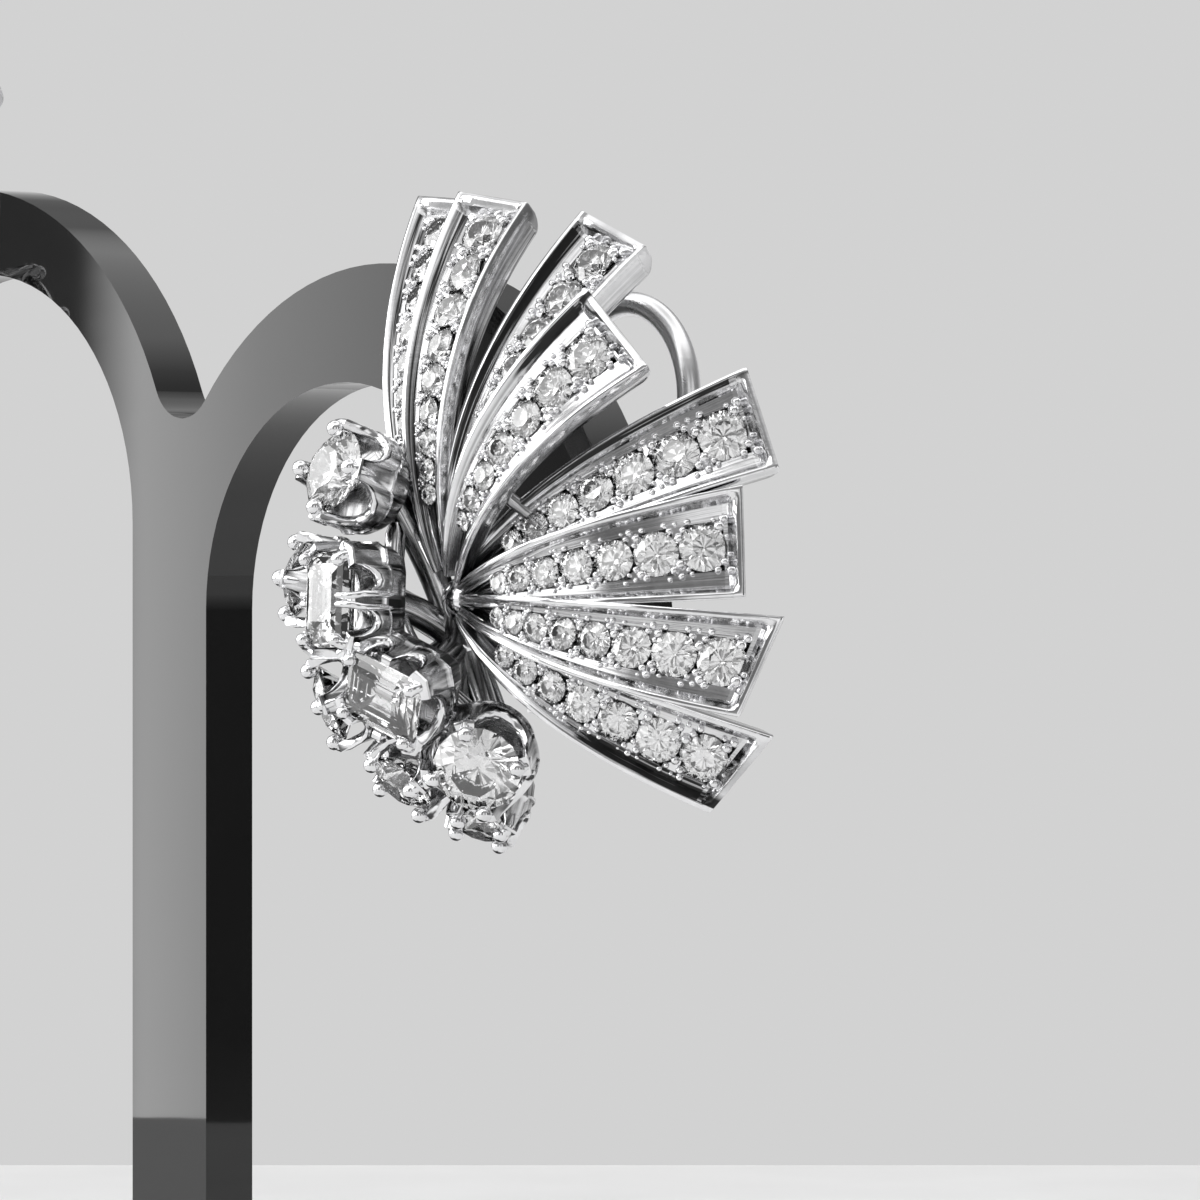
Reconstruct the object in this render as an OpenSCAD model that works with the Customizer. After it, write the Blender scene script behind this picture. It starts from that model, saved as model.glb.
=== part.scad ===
// A pair of fan earrings, clipped on the two arms of a plain display stand.
// Millimetres, +Z up, front toward -Y. The origin is on the floor under the middle of the post.
// Each earring is built round its hub, where the rays of the fan meet.

/* [Stand] */
// Thickness of the plate that forms the post and both arms
plate_t = 3; // [2.4:0.2:4]
// Width of the post
post_w = 6.4; // [5:0.2:8]
// Radius of the round notch between the arms
notch_r = 2.5; // [1.5:0.5:4]
// Length of the foot
foot_l = 56; // [46:2:70]
// Width of the foot from front to back
foot_w = 34; // [28:2:44]
// Thickness of the foot
foot_t = 3; // [2:0.5:5]
// Radius of the foot's upright corners
foot_corner_r = 4; // [2:1:8]

/* [Right arm] */
// Radius of the right arm's inner edge
right_r = 11.5; // [10.5:0.5:13]
// Radius of the right arm's outer edge
right_outer_r = 19.3; // [18.7:0.2:20.5]
// Height of the inner edge's centre above the floor
right_z = 38.5; // [36:0.5:42]
// How far the outer edge's centre lies farther out
right_shift = 2.9; // [2:0.3:3.5]
// How far the outer edge's centre lies lower
right_drop = 1.9; // [1:0.3:2.2]

/* [Left arm] */
// Radius of the left arm's inner edge
left_r = 13.5; // [12.5:0.5:14.5]
// Radius of the left arm's outer edge
left_outer_r = 19.2; // [18.8:0.2:20]
// Height of the inner edge's centre above the floor
left_z = 43; // [41:0.5:45]
// How far the outer edge's centre lies farther out
left_shift = 1.9; // [1:0.3:2.5]
// How far the outer edge's centre lies lower
left_drop = 1; // [0:0.2:1.6]

/* [Placing] */
// Height of the right hub over the inner edge's centre
right_rise = 0.5; // [-1:0.5:2]
// Height of the left hub over the inner edge's centre
left_rise = 7; // [4:0.5:8]
// Turn of the left earring on its arm, in degrees
left_turn = 14; // [0:2:20]
// How far each hub lies from the middle of its arm, toward the post
hub_inset = 0.8; // [0.4:0.2:1.6]
// How far each hub lies before the plate's front face
hub_standoff = 5.9; // [5.8:0.1:6.6]
// How far each arm ends below the hub
arm_below_hub = 2.2; // [1.6:0.2:2.4]

/* [Fan] */
// Reach of the longest ray, seen from the front
fan_reach = 21.4; // [19:0.2:24]
// How far the longest ray's tip lies behind the hub
fan_depth = 7; // [6.5:0.1:8]
// How far the middle of each ray bulges forward
ray_bulge = 3; // [2.4:0.2:3.6]
// Width of each ray at its tip
ray_w = 5.3; // [4.8:0.1:5.8]
// Height of each ray's walls at its tip
ray_h = 1.8; // [1.75:0.05:2.2]
// Thickness of the rims and of the end wall
rim_w = 0.28; // [0.2:0.04:0.4]
// Depth of the stones' bed below the rims at the tip
bed_depth = 0.6; // [0.4:0.05:0.7]
// Diameter of the stone at each ray's tip
ray_stone_d = 2.45; // [2:0.05:2.6]
// Diameter of the smallest stone in a ray
least_stone_d = 1; // [0.8:0.05:1.2]
// Gap between neighbouring stones of a ray
stone_gap = 0.12; // [0.1:0.01:0.16]
// Diameter of the cross wires that join the rays at the back
cross_wire_d = 0.7; // [0.5:0.1:0.9]

/* [Cluster] */
// Diameter of the largest round stone
round_d = 4.3; // [3.8:0.1:4.5]
// Length of the step-cut stones
step_l = 4.6; // [4.2:0.1:4.8]
// Width of the step-cut stones
step_w = 3.8; // [3.4:0.1:4]
// Reach of the cluster from the hub down to its lowest stones
cluster_reach = 10; // [9.6:0.2:11]
// Wall of the claw settings
setting_t = 0.45; // [0.35:0.05:0.6]
// Height of the claw settings
setting_h = 3.2; // [2.8:0.1:3.4]
// Diameter of the stems that carry the settings
stem_d = 1.5; // [1:0.1:1.8]

/* [Clip] */
// Diameter of the clip's wire
clip_wire_d = 1.2; // [1:0.1:1.4]
// Outer radius of the clip's loop
clip_loop_r = 5.2; // [4.8:0.1:6]
// Height of the loop's centre above the hub
clip_loop_rise = 9.9; // [9:0.1:11]
// How far the clip's middle lies to the side of the hub
clip_side = 1.9; // [1.5:0.1:2.4]
// How far the hinge lies below the hub
hinge_drop = 4.6; // [4.3:0.1:5.2]
// How far the hinge's axis lies behind the arm's front face
hinge_back = 0.7; // [0.5:0.1:1]
// Diameter of the pins at the ends of the wire
pin_d = 0.8; // [0.7:0.05:0.9]
// Clearance of the pins in the bracket, all round
pin_gap = 0.04; // [0.02:0.01:0.08]
// Width of the hinge bracket
bracket_w = 3; // [2.6:0.1:3.6]
// Height of the hinge bracket
bracket_h = 1.8; // [1.6:0.1:2]
// Gap between the earring or its clip and the arm
seat_gap = 0.15; // [0.1:0.05:0.3]

/* [Hidden] */
SIDES = ["right", "left"];

// The rays, from the cluster's top round to its foot. Reach is a share of fan_reach and back one of fan_depth.
// Skew is how far the end is turned within the fan and roll how far it leans forward on its lower side.
// Width is a share of ray_w and stone one of ray_stone_d.
// [angle from upright, reach, back, skew, roll, width, stone]
RAYS = [
    [-22, 1.01, 0.9, 27, 0, 0.88, 1],
    [-6.5, 0.93, 0.64, 15, -1, 1, 1],
    [14.3, 0.87, 0.92, 7, 1, 1, 1],
    [36.8, 0.76, 0.33, 10, -9, 1.01, 1],
    [58, 0.77, 1.12, 7, -1, 1.01, 1.06],
    [79, 0.69, 0.89, 4, 4, 1.02, 1],
    [100.6, 0.80, 0.75, 6, 18, 0.98, 1],
    [122, 0.735, 1.01, 2, 23, 0.9, 1]
];
ray_angle = 0;
ray_reach = 1;
ray_back = 2;
ray_skew = 3;
ray_roll = 4;
ray_width = 5;
ray_stone_share = 6;

// The cluster's stones. Size is a share of round_d or, for a step cut, of step_l and step_w.
// X, y and z run from the hub as shares of cluster_reach; turn is to the right of straight ahead, lift above it.
// [cut, size, x, y, z, turn, lift, spin]
STONES = [
    ["round", 0.95, -0.32, -0.46, 0.62, -2, 18, 0],
    ["round", 0.84, -0.75, -0.33, 0.10, -55, 8, 0],
    ["step", 1.00, -0.30, -0.50, 0.00, -8, 2, 90],
    ["step", 0.96, 0.00, -0.41, -0.47, 10, -20, -25],
    ["round", 1.00, 0.33, -0.10, -0.81, 40, -22, 8],
    ["round", 0.88, -0.54, -0.30, -0.50, -42, -20, 0],
    ["round", 0.84, -0.13, -0.19, -0.88, -14, -46, 0],
    ["round", 0.74, 0.02, 0.18, -1.09, 5, -66, 0]
];
stone_cut = 0;
stone_size = 1;
stone_x = 2;
stone_y = 3;
stone_z = 4;
stone_turn = 5;
stone_lift = 6;
stone_spin = 7;

// The names of all nodes
PARTS = concat(
    ["frame", "clip_bracket", "clip"],
    [for (i = [1:len(RAYS)]) str("ray_stones_", i)],
    [for (i = [1:len(STONES)]) str("cluster_stone_", i)]
);

METAL = [0.84, 0.85, 0.87];
GEM = [0.93, 0.96, 1];
SMOKE = [0.25, 0.26, 0.28];

// Plate and arms
function out_x(side) = side == "right" ? 1 : -1;
function inner_r(side) = side == "right" ? right_r : left_r;
function outer_r(side) = side == "right" ? right_outer_r : left_outer_r;
function shift(side) = side == "right" ? right_shift : left_shift;
function drop(side) = side == "right" ? right_drop : left_drop;
function arm_z(side) = side == "right" ? right_z : left_z;
function arm_x(side) = out_x(side) * (post_w / 2 + inner_r(side));
function outer_x(side) = arm_x(side) + out_x(side) * shift(side);
function outer_z(side) = arm_z(side) - drop(side);

// The hub's place: the middle of the arm at the hub's height, measured from the inner edge's centre
function rise(side) = side == "right" ? right_rise : left_rise;
function inner_edge(side) = sqrt(pow(inner_r(side), 2) - pow(rise(side), 2));
function outer_edge(side) = shift(side) + sqrt(pow(outer_r(side), 2) - pow(rise(side) + drop(side), 2));
function hub_x(side) = arm_x(side) + out_x(side) * ((inner_edge(side) + outer_edge(side)) / 2 - hub_inset);
function hub_z(side) = arm_z(side) + rise(side);
function arm_end_z(side) = hub_z(side) - arm_below_hub;

// The round notch between the arms: its circle touches both outer edges from above
RIGHT_C = [outer_x("right"), outer_z("right")];
LEFT_C = [outer_x("left"), outer_z("left")];
arm_span = norm(RIGHT_C - LEFT_C);
notch_to_right = right_outer_r + notch_r;
notch_to_left = left_outer_r + notch_r;
notch_along = (pow(notch_to_left, 2) - pow(notch_to_right, 2) + pow(arm_span, 2)) / (2 * arm_span);
notch_up = sqrt(pow(notch_to_left, 2) - pow(notch_along, 2));
span_dir = (RIGHT_C - LEFT_C) / arm_span;
NOTCH_C = LEFT_C + notch_along * span_dir + notch_up * [-span_dir.y, span_dir.x];

over = 1;
tall = 100;
ROUND = 96;

module through(x, z, r) {
    translate([x, -over, z]) rotate([-90, 0, 0]) cylinder(h = plate_t + 2 * over, r = r, $fn = ROUND);
}

module disc(x, z, r) {
    translate([x, 0, z]) rotate([-90, 0, 0]) cylinder(h = plate_t, r = r, $fn = ROUND);
}

module slab(x0, x1, z0, z1, grow = 0) {
    translate([min(x0, x1), -grow, z0]) cube([abs(x1 - x0), plate_t + 2 * grow, z1 - z0]);
}

module arm(side) {
    s = out_x(side);
    limb_in = arm_x(side) + s * inner_r(side);
    limb_out = outer_x(side) + s * sqrt(pow(outer_r(side), 2) - pow(drop(side), 2));
    difference() {
        union() {
            difference() {
                disc(outer_x(side), outer_z(side), outer_r(side));
                slab(-s * tall, s * tall, 0, arm_z(side), over);
            }
            if (arm_end_z(side) < arm_z(side))
                slab(limb_in, limb_out, arm_end_z(side), arm_z(side));
        }
        through(arm_x(side), arm_z(side), inner_r(side));
        slab(arm_x(side), s * tall, 0, arm_end_z(side), over);
    }
}

module notch_fill() {
    difference() {
        translate([0, plate_t, 0]) rotate([90, 0, 0])
            linear_extrude(plate_t) polygon([RIGHT_C, NOTCH_C, LEFT_C]);
        through(NOTCH_C.x, NOTCH_C.y, notch_r);
        through(arm_x("right"), arm_z("right"), right_r);
        through(arm_x("left"), arm_z("left"), left_r);
        slab(-tall, -post_w / 2, 0, arm_z("left"), over);
        slab(post_w / 2, tall, 0, arm_z("right"), over);
    }
}

module post() {
    slab(-post_w / 2, post_w / 2, foot_t, NOTCH_C.y - 1.5 * notch_r);
}

module stand_plate() {
    color(SMOKE) union() {
        post();
        notch_fill();
        for (side = SIDES) arm(side);
    }
}

module stand_foot() {
    inset_l = foot_l / 2 - foot_corner_r;
    inset_w = foot_w / 2 - foot_corner_r;
    color(SMOKE) translate([0, plate_t / 2, 0]) union() {
        translate([-inset_l, -foot_w / 2, 0]) cube([2 * inset_l, foot_w, foot_t]);
        translate([-foot_l / 2, -inset_w, 0]) cube([foot_l, 2 * inset_w, foot_t]);
        for (x = [-inset_l, inset_l]) for (y = [-inset_w, inset_w])
            translate([x, y, 0]) cylinder(h = foot_t, r = foot_corner_r, $fn = 48);
    }
}

// Carries a piece from the hub's frame to its arm; the left earring is the mirror image, turned a little
module on_arm(side) {
    translate([hub_x(side), -hub_standoff, hub_z(side)])
        rotate([0, side == "left" ? left_turn : 0, 0])
            mirror([side == "left" ? 1 : 0, 0, 0])
                children();
}

// One ray: the place, run and section of its channel at a share t of its length
hub_t = 0.07;
narrow = 0.65;
ray_steps = 10;
function ray_dir(ray) = [sin(ray[ray_angle]), 0, cos(ray[ray_angle])];
function ray_point(ray, t) =
    t * fan_reach * ray[ray_reach] * ray_dir(ray)
    + [0, t * fan_depth * ray[ray_back] - 4 * ray_bulge * t * (1 - t), 0];
function ray_run(ray, t) =
    fan_reach * ray[ray_reach] * ray_dir(ray)
    + [0, fan_depth * ray[ray_back] - 4 * ray_bulge * (1 - 2 * t), 0];
function unit(v) = v / norm(v);
function skewed(ray, t) = let (a = ray[ray_angle] + ray[ray_skew] * pow(t, 3)) [cos(a), 0, -sin(a)];
function ray_across(ray, t) = let (roll = ray[ray_roll] * t * t) skewed(ray, t) * cos(roll) - [0, sin(roll), 0];
function ray_up(ray, t) = unit(cross(ray_across(ray, t), unit(ray_run(ray, t))));
function width_at(t) = ray_w * pow(t, narrow);
function share_at(t) = width_at(t) / ray_w;
function wall_at(t) = ray_h * (0.4 + 0.6 * share_at(t));
function stone_d_at(ray, t) = ray_stone_d * ray[ray_stone_share] * share_at(t);

// Proportions of a ray's stones, as shares of their radius
table_share = 0.56;
crown_share = 0.3;
pavilion_share = 0.55;

// The channel inside a ray is a V; its stones sit where it is just wider than they are
groove_gap = 0.07;
least_floor = 0.25;
wall_taper = 0.08;
function half_at(ray, t) = ray[ray_width] * width_at(t) / 2;
function inside_at(ray, t) = half_at(ray, t) - min(rim_w, half_at(ray, t) * 0.25);
function clear_share(ray, t) = 1 - (stone_d_at(ray, t) / 2 + groove_gap) / inside_at(ray, t);
function deep_at(ray, t) = min(bed_depth * (0.4 + 0.6 * share_at(t)) / clear_share(ray, t), wall_at(t) - least_floor);
function bed_at(ray, t) = deep_at(ray, t) * clear_share(ray, t);

// The section runs round from the left rim over the bed to the right rim and back along the underside
function ray_section(ray, t, open) = let (
    half = half_at(ray, t),
    inside = inside_at(ray, t),
    deep = open ? deep_at(ray, t) : 0,
    taper = half * wall_taper
) [
    [-half, 0],
    [-inside, 0],
    [0, -deep],
    [inside, 0],
    [half, 0],
    [half - taper, -wall_at(t)],
    [-half + taper, -wall_at(t)]
];

module ray(i) {
    r = RAYS[i];
    reach = norm(ray_run(r, 1));
    end_slope = bed_depth * 0.3;
    in_t = 1 - (rim_w + end_slope) / reach;
    rim_t = 1 - rim_w / reach;
    ts = concat([for (k = [0:ray_steps]) hub_t + (in_t - hub_t) * k / ray_steps], [rim_t, 1]);
    count = 7;
    rings = len(ts);
    points = [
        for (t = ts)
            let (p = ray_point(r, t), a = ray_across(r, t), n = ray_up(r, t))
                for (q = ray_section(r, t, t < rim_t - 0.001)) p + q.x * a + q.y * n
    ];
    sides = [
        for (k = [0:rings - 2]) for (j = [0:count - 1])
            let (a = k * count + j, b = k * count + (j + 1) % count)
                for (f = [[a, b + count, b], [a, a + count, b + count]]) f
    ];
    cap = [[0, 1, 6], [1, 2, 6], [2, 5, 6], [2, 3, 5], [3, 4, 5]];
    last = (rings - 1) * count;
    end = [for (f = cap) [f[2] + last, f[1] + last, f[0] + last]];
    polyhedron(points, concat(sides, cap, end));
}

// The places of a ray's stones, counted from the tip inward
function first_t(ray) =
    1 - (rim_w + bed_depth * 0.3 + ray_stone_d * ray[ray_stone_share] / 2 + 0.35) / norm(ray_run(ray, 1));
function step_t(ray, t) = let (
    guess = t - stone_d_at(ray, t) / norm(ray_run(ray, t)),
    mean_d = (stone_d_at(ray, t) + stone_d_at(ray, guess)) / 2
) t - (mean_d + stone_gap) / norm(ray_run(ray, (t + guess) / 2));
function stone_ts(ray, t) = ray_stone_d * share_at(t) < least_stone_d ? [] : concat([t], stone_ts(ray, step_t(ray, t)));

// A cut stone from rings of points, table first, closed at the culet
module gem(rings, culet) {
    n = len(rings[0]);
    points = concat([for (ring = rings) for (p = ring) p], [culet]);
    tip = len(rings) * n;
    table = [for (j = [1:n - 2]) [0, j + 1, j]];
    bands = [
        for (k = [0:len(rings) - 2]) for (j = [0:n - 1])
            let (a = k * n + j, b = k * n + (j + 1) % n)
                for (f = [[a, b, b + n], [a, b + n, a + n]]) f
    ];
    low = (len(rings) - 1) * n;
    point = [for (j = [0:n - 1]) [low + j, low + (j + 1) % n, tip]];
    polyhedron(points, concat(table, bands, point));
}

function ring(n, r, z, turn = 0) = [for (j = [0:n - 1]) [r * cos(360 * j / n + turn), r * sin(360 * j / n + turn), z]];

module ray_stone(d) {
    r = d / 2;
    gem([ring(8, r * table_share, r * crown_share), ring(8, r, 0)], [0, 0, -r * pavilion_share]);
}

module ray_stones(i) {
    r = RAYS[i];
    for (t = stone_ts(r, first_t(r))) {
        y = unit(ray_run(r, t));
        z = ray_up(r, t);
        x = cross(y, z);
        p = ray_point(r, t) - bed_at(r, t) * z;
        multmatrix([[x.x, y.x, z.x, p.x], [x.y, y.y, z.y, p.y], [x.z, y.z, z.z, p.z], [0, 0, 0, 1]])
            ray_stone(stone_d_at(r, t));
    }
}

// The cluster: its core, and each stone's direction and place
CORE = cluster_reach * [-0.12, 0.16, -0.2];

// Solder that fills the pockets between neighbouring settings
SOLDER = [cluster_reach * [-0.17, -0.36, -0.24], cluster_reach * [0.06, -0.09, -0.8]];
solder_d = 2;
function aim(stone) = let (turn = stone[stone_turn], lift = stone[stone_lift])
    [sin(turn) * cos(lift), -cos(turn) * cos(lift), sin(lift)];
function stone_place(stone) = cluster_reach * [stone[stone_x], stone[stone_y], stone[stone_z]];
function is_step(stone) = stone[stone_cut] == "step";
function half_l(stone) = stone[stone_size] * (is_step(stone) ? step_l : round_d) / 2;
function half_w(stone) = stone[stone_size] * (is_step(stone) ? step_w : round_d) / 2;

module at_stone(stone) {
    translate(stone_place(stone))
        rotate([90 - stone[stone_lift], 0, stone[stone_turn]])
            rotate(stone[stone_spin])
                children();
}

girdle_share = 0.05;
cluster_crown = 0.32;
cluster_pavilion = 0.8;

module round_stone(r) {
    gem(
        [ring(10, r * table_share, r * cluster_crown), ring(10, r, r * girdle_share, 18), ring(10, r, 0, 18)],
        [0, 0, -r * cluster_pavilion]
    );
}

// An oblong ring with cut corners
function oblong(x, y, z) = let (c = 0.45 * min(x, y))
    [[x, -y + c, z], [x, y - c, z], [x - c, y, z], [c - x, y, z], [-x, y - c, z], [-x, c - y, z], [c - x, -y, z], [x - c, -y, z]];

module step_stone(x, y) {
    gem(
        [
            oblong(x * 0.6, y * 0.6, y * 0.34),
            oblong(x * 0.82, y * 0.82, y * 0.24),
            oblong(x, y, y * girdle_share),
            oblong(x, y, 0),
            oblong(x * 0.6, y * 0.6, -y * 0.5)
        ],
        [0, 0, -y * cluster_pavilion]
    );
}

module cluster_stone(i) {
    stone = STONES[i];
    at_stone(stone)
        if (is_step(stone)) step_stone(half_l(stone), half_w(stone));
        else round_stone(half_w(stone));
}

// A claw setting: a cup whose rim rises to claws round the stone and dips between them
claw_gap = 0.07;
claw_share = 0.32;
notch_share = 0.65;
bevel = 0.15;
bevel_h = 0.3;
cup_foot = 0.85;

// The columns of a cup, each [x, y, height of the rim]
function round_columns(r, top, low) = [
    for (quarter = [0:90:270]) for (c = [[-10, top], [10, top], [27, low], [63, low]])
        [r * cos(quarter + c[0]), r * sin(quarter + c[0]), c[1]]
];
function oblong_columns(x, y, top, low) = let (c = 0.45 * y, long = x - c) [
    for (s = [1, -1]) for (q = [
        [x, -y + c, top], [x, -y * 0.3, low], [x, y * 0.3, low], [x, y - c, top],
        [long, y, top], [long * 0.75, y, low], [long * 0.42, y, low], [long * 0.17, y, top],
        [-long * 0.17, y, top], [-long * 0.42, y, low], [-long * 0.75, y, low], [-long, y, top]
    ]) [s * q.x, s * q.y, q.z]
];

// A cup from its columns, with straight walls inside and walls that narrow toward the foot outside
function narrowed(z) = 1 + (1 - cup_foot) * min(z, 0) / setting_h;
function cup_ring(columns, size, zs) = [
    for (j = [0:len(columns) - 1]) [columns[j].x * size.x * narrowed(zs[j]), columns[j].y * size.y * narrowed(zs[j]), zs[j]]
];
module cup(columns, x, y, floor_z) {
    n = len(columns);
    rim = [for (c = columns) c.z];
    shoulder = [for (c = columns) c.z > 0 ? bevel_h / 3 : c.z - bevel_h];
    foot = [for (c = columns) -setting_h];
    inside = [1 - setting_t / x, 1 - setting_t / y];
    rings = [
        [for (c = columns) [c.x * inside.x, c.y * inside.y, floor_z]],
        [for (c = columns) [c.x * inside.x, c.y * inside.y, c.z]],
        cup_ring(columns, [1 - bevel / x, 1 - bevel / y], rim),
        cup_ring(columns, [1, 1], shoulder),
        cup_ring(columns, [1, 1], foot)
    ];
    last = len(rings) - 1;
    points = [for (ring = rings) for (p = ring) p];
    bands = [
        for (k = [0:last - 1]) for (j = [0:n - 1])
            let (a = k * n + j, b = k * n + (j + 1) % n)
                for (f = [[a, b, b + n], [a, b + n, a + n]]) f
    ];
    bottom = [for (j = [1:n - 2]) [0, j + 1, j]];
    under = [for (j = [1:n - 2]) [last * n, last * n + j, last * n + j + 1]];
    polyhedron(points, concat(bands, bottom, under));
}

module round_setting(r) {
    outer = r + claw_gap + setting_t;
    cup(round_columns(outer, r * claw_share, -r * notch_share), outer, outer, -r * cluster_pavilion - 0.2);
}

module step_setting(x, y) {
    out_x = x + claw_gap + setting_t;
    out_y = y + claw_gap + setting_t;
    cup(oblong_columns(out_x, out_y, y * claw_share, -y * notch_share), out_x, out_y, -y * cluster_pavilion - 0.2);
}

module setting(stone) {
    at_stone(stone)
        if (is_step(stone)) step_setting(half_l(stone), half_w(stone));
        else round_setting(half_w(stone));
}

// A straight wire between two points
module wire(a, b, d) {
    hull() {
        translate(a) sphere(d = d, $fn = 5);
        translate(b) sphere(d = d, $fn = 5);
    }
}

// Every second pair of neighbouring rays is joined by a short wire at the back
cross_t = 0.42;
function under_ray(ray) = ray_point(ray, cross_t) - wall_at(cross_t) * ray_up(ray, cross_t);
module cross_wires() {
    for (i = [1:2:len(RAYS) - 2])
        wire(under_ray(RAYS[i]), under_ray(RAYS[i + 1]), cross_wire_d);
}

// What the earring rests on the arm with, and what its hinge bracket is fixed to
HUB = [0, 1, 0];
rest_y = hub_standoff - seat_gap;
hinge_y = hub_standoff + hinge_back;
bracket_front = hinge_y - bracket_h / 2 - 0.4;
HINGE = [clip_side, hinge_y, -hinge_drop];
plinth_t = 0.9;

module rest_pad() {
    translate([HUB.x, HUB.y, HUB.z]) rotate([-90, 0, 0]) cylinder(h = rest_y - HUB.y, r = 1.1, $fn = 12);
}

module bracket_plinth() {
    translate([HINGE.x - bracket_w / 2, bracket_front - plinth_t, HINGE.z - bracket_h / 2])
        cube([bracket_w, plinth_t, bracket_h]);
    wire([HUB.x + 0.2, bracket_front - plinth_t, HUB.z - 0.4], [HINGE.x, bracket_front - plinth_t, HINGE.z], stem_d);
}

module frame() {
    color(METAL) union() {
        for (i = [0:len(RAYS) - 1]) ray(i);
        cross_wires();
        translate(HUB) sphere(r = 1.2, $fn = 10);
        wire(HUB, CORE, stem_d * 1.3);
        for (stone = STONES) {
            setting(stone);
            wire(CORE, stone_place(stone) - (setting_h - 0.3) * aim(stone), stem_d);
        }
        for (place = SOLDER) translate(place) sphere(d = solder_d, $fn = 8);
        rest_pad();
        bracket_plinth();
    }
}

module clip_bracket() {
    color(METAL) difference() {
        translate([HINGE.x - bracket_w / 2, bracket_front, HINGE.z - bracket_h / 2])
            cube([bracket_w, hinge_y + bracket_h / 2 - bracket_front, bracket_h]);
        translate(HINGE) rotate([0, 90, 0])
            cylinder(h = bracket_w + 2 * over, r = pin_d / 2 + pin_gap, center = true, $fn = 32);
    }
}

// The clip: a loop of wire behind the arm, two legs down to the hinge and a pin at the end of each
clip_r = clip_wire_d / 2;
clip_y = hub_standoff + plate_t + seat_gap + clip_r;
loop_r = clip_loop_r - clip_r;
leg_x = bracket_w / 2 + 0.15 + clip_r;
neck_angle = asin(leg_x / loop_r);
neck_z = clip_loop_rise - loop_r * cos(neck_angle);
elbow = 1.03;
pin_len = 1.1;
module clip() {
    color(METAL) union() {
        translate([clip_side, clip_y, clip_loop_rise]) rotate([90, 0, 0]) rotate([0, 0, neck_angle - 90])
            rotate_extrude(angle = 360 - 2 * neck_angle, $fn = 48) translate([loop_r, 0]) circle(r = clip_r, $fn = 24);
        for (s = [-1, 1]) {
            translate([clip_side + s * leg_x, clip_y, -hinge_drop])
                cylinder(h = neck_z + hinge_drop, r = clip_r, $fn = 24);
            translate([clip_side + s * leg_x, clip_y, neck_z]) sphere(r = clip_r * elbow, $fn = 24);
            translate([clip_side + s * leg_x, clip_y, -hinge_drop]) sphere(r = clip_r * elbow, $fn = 24);
            translate([clip_side + s * leg_x, hinge_y, -hinge_drop]) rotate([-90, 0, 0])
                cylinder(h = clip_y - hinge_y, r = clip_r, $fn = 24);
            translate([clip_side + s * leg_x, hinge_y, -hinge_drop]) sphere(r = clip_r * elbow, $fn = 24);
            translate([clip_side + s * (leg_x - clip_r / 2), hinge_y, -hinge_drop]) rotate([0, -s * 90, 0])
                cylinder(h = pin_len + clip_r / 2, r = pin_d / 2, $fn = 24);
        }
    }
}

stand_plate();
stand_foot();
for (side = SIDES) {
    on_arm(side) frame();
    on_arm(side) clip_bracket();
    on_arm(side) clip();
    for (i = [0:len(RAYS) - 1])
        on_arm(side) color(GEM) ray_stones(i);
    for (i = [0:len(STONES) - 1])
        on_arm(side) color(GEM) cluster_stone(i);
}
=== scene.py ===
import math
from collections import namedtuple

import bmesh
import bpy
from mathutils import Matrix, Vector


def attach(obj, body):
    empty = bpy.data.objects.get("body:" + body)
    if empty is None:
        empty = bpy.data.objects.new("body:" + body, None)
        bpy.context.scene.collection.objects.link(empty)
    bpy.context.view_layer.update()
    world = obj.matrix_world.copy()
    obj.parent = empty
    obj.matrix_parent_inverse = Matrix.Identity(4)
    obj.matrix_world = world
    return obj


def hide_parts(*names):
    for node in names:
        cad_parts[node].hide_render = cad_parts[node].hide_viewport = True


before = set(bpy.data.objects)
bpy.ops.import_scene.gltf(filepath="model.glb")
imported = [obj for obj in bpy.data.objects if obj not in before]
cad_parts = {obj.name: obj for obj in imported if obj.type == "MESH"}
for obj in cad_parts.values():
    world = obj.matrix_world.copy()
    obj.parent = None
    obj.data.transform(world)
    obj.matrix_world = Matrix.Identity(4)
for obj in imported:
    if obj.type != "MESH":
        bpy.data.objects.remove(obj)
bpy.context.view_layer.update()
scene = bpy.context.scene
scene.view_settings.view_transform = "Standard"


# The stand: one plate of dark acrylic sawn to a post with two curved arms, let into a flat foot.
# Face and edges are polished, and carry faint smears, fine scratches and a little dust.
ACRYLIC_COLOUR = (0.004, 0.004, 0.004, 1)
ACRYLIC_DUST = (0.008, 0.008, 0.008, 1)


def add_node(tree, kind, values=None, links=None, **settings):
    """Adds a node with its settings, its plain values and its incoming links"""
    made = tree.nodes.new(kind)
    for name, value in settings.items():
        setattr(made, name, value)
    for socket, value in (values or {}).items():
        made.inputs[socket].default_value = value
    for socket, source in (links or {}).items():
        tree.links.new(source, made.inputs[socket])
    return made


def ranged(low, high, out_low=0, out_high=1):
    """The limits of a Map Range node"""
    return {"From Min": low, "From Max": high, "To Min": out_low, "To Max": out_high}


def colour_ramp(tree, source, stops):
    """Colours along a value from 0 to 1; the first two stops take the ramp's own two places"""
    ramp = add_node(tree, "ShaderNodeValToRGB", links={"Fac": source})
    found = ramp.color_ramp.elements
    for k, (position, colour) in enumerate(stops):
        stop = found[k] if k < 2 else found.new(position)
        stop.position = position
        stop.color = colour
    return ramp.outputs["Color"]


def new_group(name, inputs, outputs):
    """A shader node group with plain float inputs and outputs"""
    group = bpy.data.node_groups.new(name, "ShaderNodeTree")
    for label, value in inputs.items():
        socket = group.interface.new_socket(label, in_out="INPUT", socket_type="NodeSocketFloat")
        socket.default_value = value
    for label in outputs:
        group.interface.new_socket(label, in_out="OUTPUT", socket_type="NodeSocketFloat")
    return group, group.nodes.new("NodeGroupInput"), group.nodes.new("NodeGroupOutput")


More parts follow.
